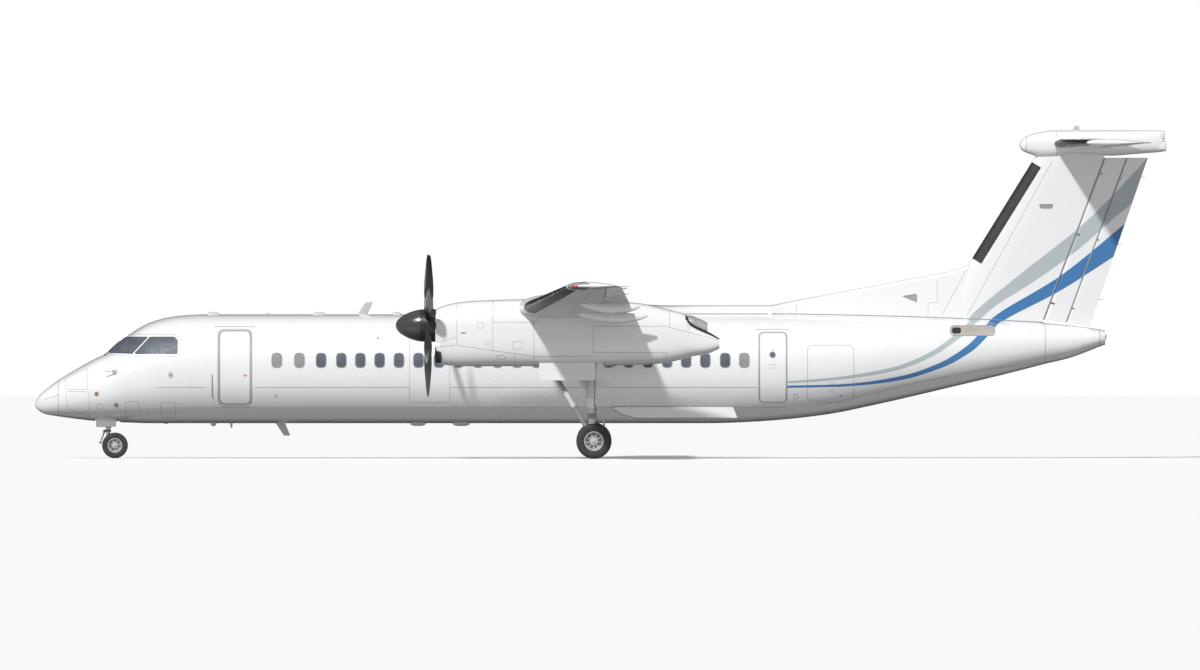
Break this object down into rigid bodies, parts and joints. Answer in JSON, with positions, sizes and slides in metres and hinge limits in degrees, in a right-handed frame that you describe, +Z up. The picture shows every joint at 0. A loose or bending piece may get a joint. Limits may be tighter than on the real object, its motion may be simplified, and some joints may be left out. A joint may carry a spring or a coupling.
{
  "type": "twin turboprop airliner",
  "caption": "High-wing T-tail twin turboprop airliner on its landing gear, with turning propellers and wheels, steering, tail and wing controls, and an airstair.",
  "frame": {"origin": "on the ground, below the middle of the bounding box", "axes": "+X aft along the fuselage, +Y to starboard, +Z up; the nose points to -X"},
  "size_m": [32.81, 28.42, 9.5022],
  "materials": {
    "white_paint": "gloss white paint with blue and grey swooshes at the rear",
    "radome_paint": "white painted composite",
    "gear_paint": "light grey gear enamel",
    "gear_steel": "plated steel",
    "engine_metal": "plain block",
    "exhaust_steel": "heat-stained steel",
    "wheel_paint": "silver wheel paint",
    "tyre_rubber": "dull black rubber",
    "dark_paint": "satin black paint",
    "blade_paint": "satin dark paint with light tips"
  },
  "bodies": {
    "airframe": {"radome": "radome_paint", "nose_section": "white_paint", "entry_section": "white_paint", "cabin_section": "white_paint", "rear_section": "white_paint", "tail_cone": "white_paint", "wing_fairing": "white_paint", "wing_centre": "white_paint", "wing_outer_left": "white_paint", "wing_outer_right": "white_paint", "flap_inboard_left": "white_paint", "flap_inboard_right": "white_paint", "flap_outboard_left": "white_paint", "flap_outboard_right": "white_paint", "nacelle_left": "white_paint", "nacelle_right": "white_paint", "cowl_left": "white_paint", "cowl_right": "white_paint", "engine_left": "engine_metal", "engine_right": "engine_metal", "exhaust_left": "exhaust_steel", "exhaust_right": "exhaust_steel", "main_gear_door_inner_left": "white_paint", "main_gear_door_outer_left": "white_paint", "main_gear_door_inner_right": "white_paint", "main_gear_door_outer_right": "white_paint", "main_leg_left": "gear_paint", "main_leg_right": "gear_paint", "main_axle_left": "gear_steel", "main_axle_right": "gear_steel", "nose_leg": "gear_paint", "nose_door_left": "white_paint", "nose_door_right": "white_paint", "dorsal_fin": "white_paint", "fin": "white_paint", "fin_bullet": "white_paint", "stabilizer": "white_paint"},
    "port_propeller": {"spinner_left": "dark_paint", "propeller_left": "blade_paint"},
    "starboard_propeller": {"spinner_right": "dark_paint", "propeller_right": "blade_paint"},
    "port_main_wheels": {"main_rims_left": "wheel_paint", "main_tyre_inner_left": "tyre_rubber", "main_tyre_outer_left": "tyre_rubber"},
    "starboard_main_wheels": {"main_rims_right": "wheel_paint", "main_tyre_inner_right": "tyre_rubber", "main_tyre_outer_right": "tyre_rubber"},
    "nose_steering_leg": {"nose_fork": "gear_steel"},
    "nose_wheels": {"nose_rims": "wheel_paint", "nose_tyre_left": "tyre_rubber", "nose_tyre_right": "tyre_rubber"},
    "forward_rudder": {"rudder_fore": "white_paint"},
    "trailing_rudder": {"rudder_trailing": "white_paint"},
    "port_elevator": {"elevator_left": "white_paint"},
    "starboard_elevator": {"elevator_right": "white_paint"},
    "port_aileron": {"aileron_left": "white_paint"},
    "starboard_aileron": {"aileron_right": "white_paint"},
    "boarding_door": {"airstair_door": "white_paint"}
  },
  "joints": [
    {"name": "port_propeller_spin", "type": "hinge", "parent": "airframe", "child": "port_propeller", "pos_m": [-4.98, -4.395, 3.845], "axis": [1, 0, 0], "continuous": true},
    {"name": "starboard_propeller_spin", "type": "hinge", "parent": "airframe", "child": "starboard_propeller", "pos_m": [-4.98, 4.395, 3.845], "axis": [1, 0, 0], "continuous": true},
    {"name": "port_main_wheels_spin", "type": "hinge", "parent": "airframe", "child": "port_main_wheels", "pos_m": [-0.191, -4.395, 0.51], "axis": [0, 1, 0], "continuous": true},
    {"name": "starboard_main_wheels_spin", "type": "hinge", "parent": "airframe", "child": "starboard_main_wheels", "pos_m": [-0.191, 4.395, 0.51], "axis": [0, 1, 0], "continuous": true},
    {"name": "nose_steering", "type": "hinge", "parent": "airframe", "child": "nose_steering_leg", "pos_m": [-14.276, 0, 0.88], "axis": [0, 0, 1], "range_deg": [-70, 70]},
    {"name": "nose_wheels_spin", "type": "hinge", "parent": "nose_steering_leg", "child": "nose_wheels", "pos_m": [-14.084, 0, 0.371], "axis": [0, 1, 0], "continuous": true},
    {"name": "rudder_turn", "type": "hinge", "parent": "airframe", "child": "forward_rudder", "pos_m": [12.954, 0, 3.986], "axis": [0.3473, 0, 0.9377], "range_deg": [-18, 18]},
    {"name": "trailing_rudder_turn", "type": "hinge", "parent": "forward_rudder", "child": "trailing_rudder", "pos_m": [13.563, 0, 3.908], "axis": [0.3429, 0, 0.9394], "range_deg": [-18, 18]},
    {"name": "port_elevator_turn", "type": "hinge", "parent": "airframe", "child": "port_elevator", "pos_m": [14.95, -0.44, 9.125], "axis": [0, 1, 0], "range_deg": [-25, 20]},
    {"name": "starboard_elevator_turn", "type": "hinge", "parent": "airframe", "child": "starboard_elevator", "pos_m": [14.95, 0.44, 9.125], "axis": [0, 1, 0], "range_deg": [-25, 20]},
    {"name": "port_aileron_turn", "type": "hinge", "parent": "airframe", "child": "port_aileron", "pos_m": [0.19909, -9.8, 4.69156], "axis": [-0.0064, 0.9977, -0.0669], "range_deg": [-20, 20]},
    {"name": "starboard_aileron_turn", "type": "hinge", "parent": "airframe", "child": "starboard_aileron", "pos_m": [0.19909, 9.8, 4.69156], "axis": [0.0064, 0.9977, 0.0669], "range_deg": [-20, 20]},
    {"name": "boarding_door_drop", "type": "hinge", "parent": "airframe", "child": "boarding_door", "pos_m": [-10.588, -1.17287, 1.536], "axis": [1, 0, 0], "range_deg": [0, 125]}
  ],
  "couplings": [
    {"joint": "trailing_rudder_turn", "follows": "rudder_turn", "ratio": 1},
    {"joint": "starboard_elevator_turn", "follows": "port_elevator_turn", "ratio": 1},
    {"joint": "starboard_aileron_turn", "follows": "port_aileron_turn", "ratio": -1}
  ]
}
